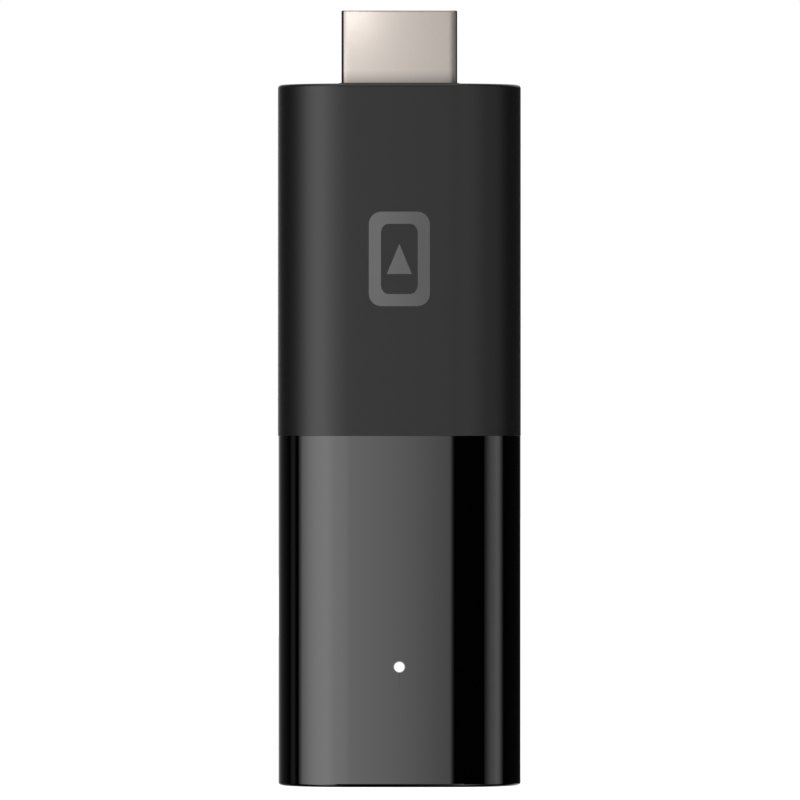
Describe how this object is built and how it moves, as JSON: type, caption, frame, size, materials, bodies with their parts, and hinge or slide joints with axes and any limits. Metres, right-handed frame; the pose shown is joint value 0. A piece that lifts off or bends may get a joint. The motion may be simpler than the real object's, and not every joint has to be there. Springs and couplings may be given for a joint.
{
  "type": "streaming media player",
  "caption": "Slim stick-shaped streaming media player: matte upper sleeve with a projecting HDMI plug, gloss lower cap with a status light and a micro-USB power socket in its side.",
  "frame": {"origin": "centre of the flat lower end face, opposite the plug", "axes": "+Z from the lower end towards the HDMI plug; the front, with the status light and the plug's wide face, looks towards -Y; the micro-USB socket opens towards -X"},
  "size_m": [0.0292, 0.0152, 0.0931],
  "materials": {
    "matte_black_plastic": "moulded black plastic with a fine matte texture",
    "gloss_black_plastic": "piano-black moulded plastic with a mirror gloss",
    "nickel_plated_steel": "satin nickel plating with a warm tint",
    "tin_plated_steel": "dull tin plating on pressed sheet",
    "gold_plated_contact": "gold flash on copper alloy",
    "black_insulator": "black glass-filled moulding",
    "solder_mask": "semi-gloss green solder mask",
    "chip_epoxy": "matte black moulding compound",
    "ceramic": "fired ceramic",
    "thermal_silicone": "soft filled silicone",
    "aluminium_sheet": "mill-finish sheet",
    "clear_light_pipe": "clear polycarbonate"
  },
  "bodies": {
    "root": {"bulk_capacitor_1": "ceramic", "bulk_capacitor_2": "ceramic", "chip_antenna": "ceramic", "clock_crystal": "tin_plated_steel", "front_gap_pad": "thermal_silicone", "front_heat_spreader": "aluminium_sheet", "front_shield_cover": "tin_plated_steel", "front_shield_frame": "tin_plated_steel", "hdmi_contact_01": "gold_plated_contact", "hdmi_contact_02": "gold_plated_contact", "hdmi_contact_03": "gold_plated_contact", "hdmi_contact_04": "gold_plated_contact", "hdmi_contact_05": "gold_plated_contact", "hdmi_contact_06": "gold_plated_contact", "hdmi_contact_07": "gold_plated_contact", "hdmi_contact_08": "gold_plated_contact", "hdmi_contact_09": "gold_plated_contact", "hdmi_contact_10": "gold_plated_contact", "hdmi_contact_11": "gold_plated_contact", "hdmi_contact_12": "gold_plated_contact", "hdmi_contact_13": "gold_plated_contact", "hdmi_contact_14": "gold_plated_contact", "hdmi_contact_15": "gold_plated_contact", "hdmi_contact_16": "gold_plated_contact", "hdmi_contact_17": "gold_plated_contact", "hdmi_contact_18": "gold_plated_contact", "hdmi_contact_19": "gold_plated_contact", "hdmi_esd_array_1": "chip_epoxy", "hdmi_esd_array_2": "chip_epoxy", "hdmi_insulator": "black_insulator", "hdmi_plug_shell": "nickel_plated_steel", "input_fuse": "ceramic", "led_light_pipe": "clear_light_pipe", "lower_housing": "gloss_black_plastic", "main_pcb": "solder_mask", "memory_chip": "chip_epoxy", "micro_usb_contact_1": "gold_plated_contact", "micro_usb_contact_2": "gold_plated_contact", "micro_usb_contact_3": "gold_plated_contact", "micro_usb_contact_4": "gold_plated_contact", "micro_usb_contact_5": "gold_plated_contact", "micro_usb_shell": "tin_plated_steel", "micro_usb_tongue": "black_insulator", "power_inductor_1": "chip_epoxy", "power_inductor_2": "chip_epoxy", "power_management_chip": "chip_epoxy", "processor_pad": "thermal_silicone", "rear_gap_pad": "thermal_silicone", "rear_heat_spreader": "aluminium_sheet", "rear_shield_can": "tin_plated_steel", "status_led": "ceramic", "storage_chip": "chip_epoxy", "storage_pad": "thermal_silicone", "system_on_chip": "chip_epoxy", "upper_housing": "matte_black_plastic", "wireless_module_board": "solder_mask", "wireless_module_can": "tin_plated_steel"}
  },
  "joints": []
}
